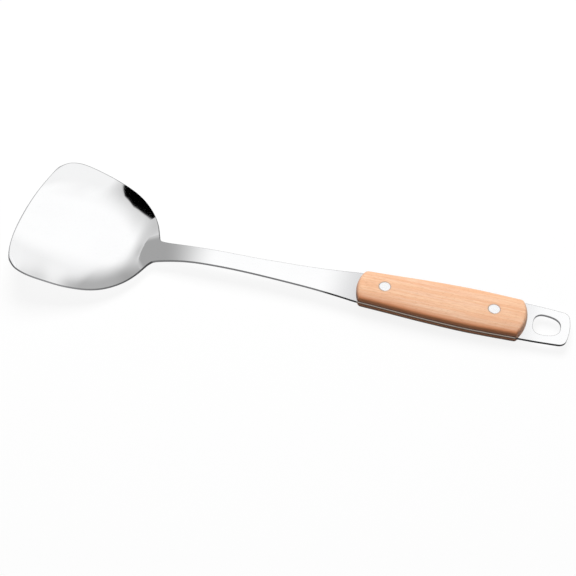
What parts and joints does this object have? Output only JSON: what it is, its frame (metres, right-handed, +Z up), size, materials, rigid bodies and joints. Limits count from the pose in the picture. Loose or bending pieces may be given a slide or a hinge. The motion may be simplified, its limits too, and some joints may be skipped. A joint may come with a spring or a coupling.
{
  "type": "wok turner",
  "caption": "Wok turner: a dished polished steel blade, neck and full tang in one sheet, with riveted beech scales and an oval hanging hole in the tail.",
  "frame": {"origin": "centre of the bounding box's base, on the table that the turner lies on", "axes": "+Z up from the table, +X along the handle toward the tail, so the blade is at -X; the XZ plane is the plane of symmetry"},
  "size_m": [0.3722, 0.1048, 0.0248],
  "materials": {
    "polished_steel": "polished nearly to a mirror",
    "beech": "smooth oiled beech with fine grain along the handle",
    "rivet_steel": "ground flush, satin"
  },
  "bodies": {
    "root": {"blade_and_tang": "polished_steel", "upper_scale": "beech", "lower_scale": "beech", "front_rivet_post": "rivet_steel", "front_rivet_socket": "rivet_steel", "rear_rivet_post": "rivet_steel", "rear_rivet_socket": "rivet_steel"}
  },
  "joints": []
}
